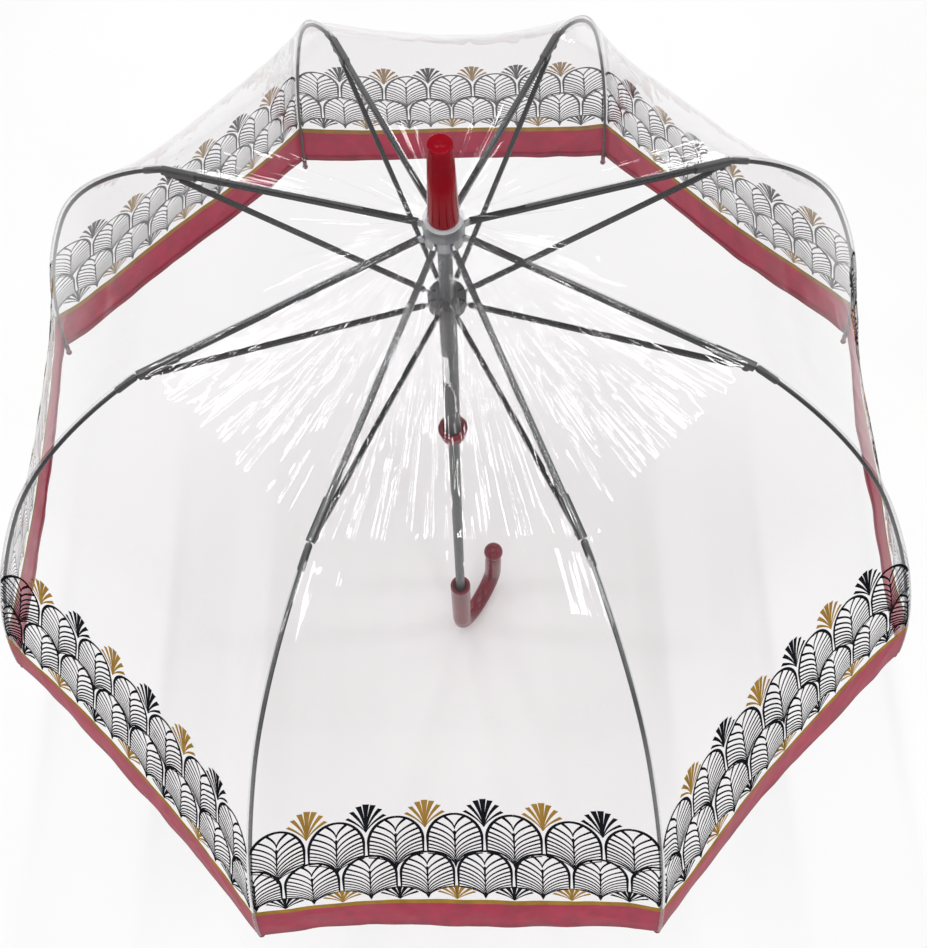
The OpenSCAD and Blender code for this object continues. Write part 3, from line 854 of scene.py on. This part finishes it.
def handle():
    """One smooth crook: socket mouth, stem, round bend, free arm and knob."""
    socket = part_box("handle")[1].z
    bend = CROOK_SPAN / 2
    base = bend + GRIP_R
    knob_z = 0.112
    knob_r = 0.0114
    socket_r = 0.0114
    stem_r = 0.0109
    path, radii = [], []

    def put(x, z, r):
        path.append((x, z))
        radii.append(r)

    for r, drop in ((0.0053, 0.012), (0.0053, 0.0042), (0.0058, 0.0038), (0.0080, 0.0008), (0.0086, 0.0002),
                    (0.0092, 0.0), (0.0106, 0.0), (0.0111, 0.0003), (0.0114, 0.0012)):
        put(0, socket - drop, r)
    for z in np.linspace(socket - 0.004, base + BLEND_H, 26):
        put(0, z, stem_r + (socket_r - stem_r) * (z - base - BLEND_H) / (socket - base - BLEND_H))
    for t in np.linspace(0, 1, 6)[1:]:
        put(0, base + BLEND_H * (1 - t), GRIP_R + (stem_r - GRIP_R) * (1 - t * t * (3 - 2 * t)))
    for a in np.linspace(0, math.pi, 41)[1:]:
        put(bend - bend * math.cos(a), base - bend * math.sin(a), GRIP_R)
    for t in np.linspace(0, 1, 14)[1:]:
        z = base + (knob_z - 0.0095 - base) * t
        put(CROOK_SPAN, z, GRIP_R - 0.0011 * np.clip((t - 0.55) / 0.45, 0, 1) ** 2)
    for a in np.linspace(math.radians(-46), math.pi / 2, 20):
        groove = 0.00035 * math.exp(-((a - GROOVE_AT) / 0.07) ** 2)
        put(CROOK_SPAN, knob_z + (knob_r - groove) * math.sin(a), max((knob_r - groove) * math.cos(a), 1e-5))
    plane = np.array(path)
    turn = np.array([math.cos(CROOK_TURN), math.sin(CROOK_TURN), 0])
    points = plane[:, :1] * turn + plane[:, 1:] * np.array([0, 0, 1])
    sides = 48
    side = np.array([-math.sin(CROOK_TURN), math.cos(CROOK_TURN), 0])
    rings = []
    for (x, z), r, centre in zip(plane, radii, points):
        tilt = np.array([0, 0, 1.0])
        out = turn
        if abs(z - base) < bend + 1e-6 and z < base - 1e-9:
            a = math.atan2(base - z, bend - x)
            out = turn * math.cos(a) + tilt * math.sin(a)
        elif x > bend:
            out = -turn
        around = np.arange(sides) * 2 * math.pi / sides
        rings.append(centre + r * (np.cos(around)[:, None] * side + np.sin(around)[:, None] * out))
    faces = grid_faces(len(rings), sides, close_rows=True)
    obj = new_object("crook_handle", np.array(rings), faces, [HANDLE])
    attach(obj, "root")
    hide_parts("handle")


# ---- studio ----
def floor():
    size = 6.0
    mesh = bpy.data.meshes.new("studio_floor")
    corners = [(-size, -size, 0), (size, -size, 0), (size, size, 0), (-size, size, 0)]
    mesh.from_pydata(corners, [], [(0, 1, 2, 3)])
    obj = bpy.data.objects.new("studio_floor", mesh)
    bpy.context.scene.collection.objects.link(obj)
    n = Nodes("floor_white")
    paper = n.principled(Roughness=0.9, Specular_IOR_Level=0.1)
    n.link(n.ramp(n.noise(0.5, 2), [(0.3, 0.90), (0.7, 0.93)]), paper.inputs["Base Color"])
    mesh.materials.append(n.finish(paper.outputs[0]))


def area_light(name, place, target, size, power):
    light = bpy.data.lights.new(name, "AREA")
    light.shape = "RECTANGLE"
    light.size, light.size_y = size
    light.energy = power
    obj = bpy.data.objects.new(name, light)
    obj.location = place
    obj.rotation_euler = (Vector(target) - Vector(place)).to_track_quat("-Z", "Y").to_euler()
    bpy.context.scene.collection.objects.link(obj)


WORLD_STRENGTH = 0.50
# Narrow strips overhead, whose reflections are the long glints on top of the dome
STRIP_X = (-1.15, -0.42, 0.34, 1.1)
STRIP_SIZE = (0.06, 2.4)
STRIP_POWER = 11.5

# Tall narrow boxes round the umbrella, whose reflections are the white streaks in the film
SOFTBOXES = [
    ("front_left", (-0.75, -2.3, 1.9), (0.25, 1.1), 8),
    ("front_right", (0.85, -2.3, 1.8), (0.25, 1.1), 8),
    ("left", (-2.4, 0.2, 1.6), (0.25, 1.0), 7),
    ("right", (2.4, 0.1, 1.6), (0.25, 1.0), 7),
    ("back_left", (-0.7, 2.6, 1.0), (0.25, 0.9), 6),
    ("back_right", (0.8, 2.6, 1.0), (0.25, 0.9), 6),
]


def studio():
    world = bpy.data.worlds.new("studio")
    world.use_nodes = True
    back = world.node_tree.nodes["Background"]
    back.inputs["Color"].default_value = (1, 1, 1, 1)
    back.inputs["Strength"].default_value = WORLD_STRENGTH
    bpy.context.scene.world = world
    for x in STRIP_X:
        area_light("overhead", (x, 0.2, 3.0), (x, 0.2, 0), STRIP_SIZE, STRIP_POWER)
    for name, place, size, power in SOFTBOXES:
        area_light(name, place, (0, 0, 0.7), size, power)


# Fitted to the photograph
CAMERA_DEGREES = (1.13, 65.62, -1.80)
CAMERA_LENS = 45.57
CAMERA_PLACE = (0.0165, -0.4537, 1.4847)


def camera():
    """At the photographed view: nearly overhead, a little in front."""
    azimuth, elevation, roll = (math.radians(v) for v in CAMERA_DEGREES)
    back = Vector((math.sin(azimuth) * math.cos(elevation), -math.cos(azimuth) * math.cos(elevation),
                   math.sin(elevation)))
    right = Vector((math.cos(azimuth), math.sin(azimuth), 0))
    up = back.cross(right)
    turned = right * math.cos(roll) + up * math.sin(roll)
    up = back.cross(turned)
    data = bpy.data.cameras.new("camera")
    data.sensor_width = 36
    data.lens = CAMERA_LENS
    obj = bpy.data.objects.new("camera", data)
    obj.matrix_world = Matrix.Translation(CAMERA_PLACE) @ Matrix(
        (turned, up, back)).transposed().to_4x4()
    bpy.context.scene.collection.objects.link(obj)
    bpy.context.scene.camera = obj


camera()
dress_cad()
gore_strokes = joined(border_strokes())
for rib_index in range(RIBS):
    petal = crown_petal(rib_index)
    for side in (-1, 1):
        half_gore(rib_index, side)
    for side in (-1, 1):
        print_half(rib_index, side, gore_strokes)
    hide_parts(f"canopy_panel_{rib_index + 1}")
    seams(rib_index)
    rod_pieces(rib_index)
ferrule()
rosette()
collar()
label()
handle()
floor()
studio()
bpy.context.scene.view_settings.view_transform = "Standard"
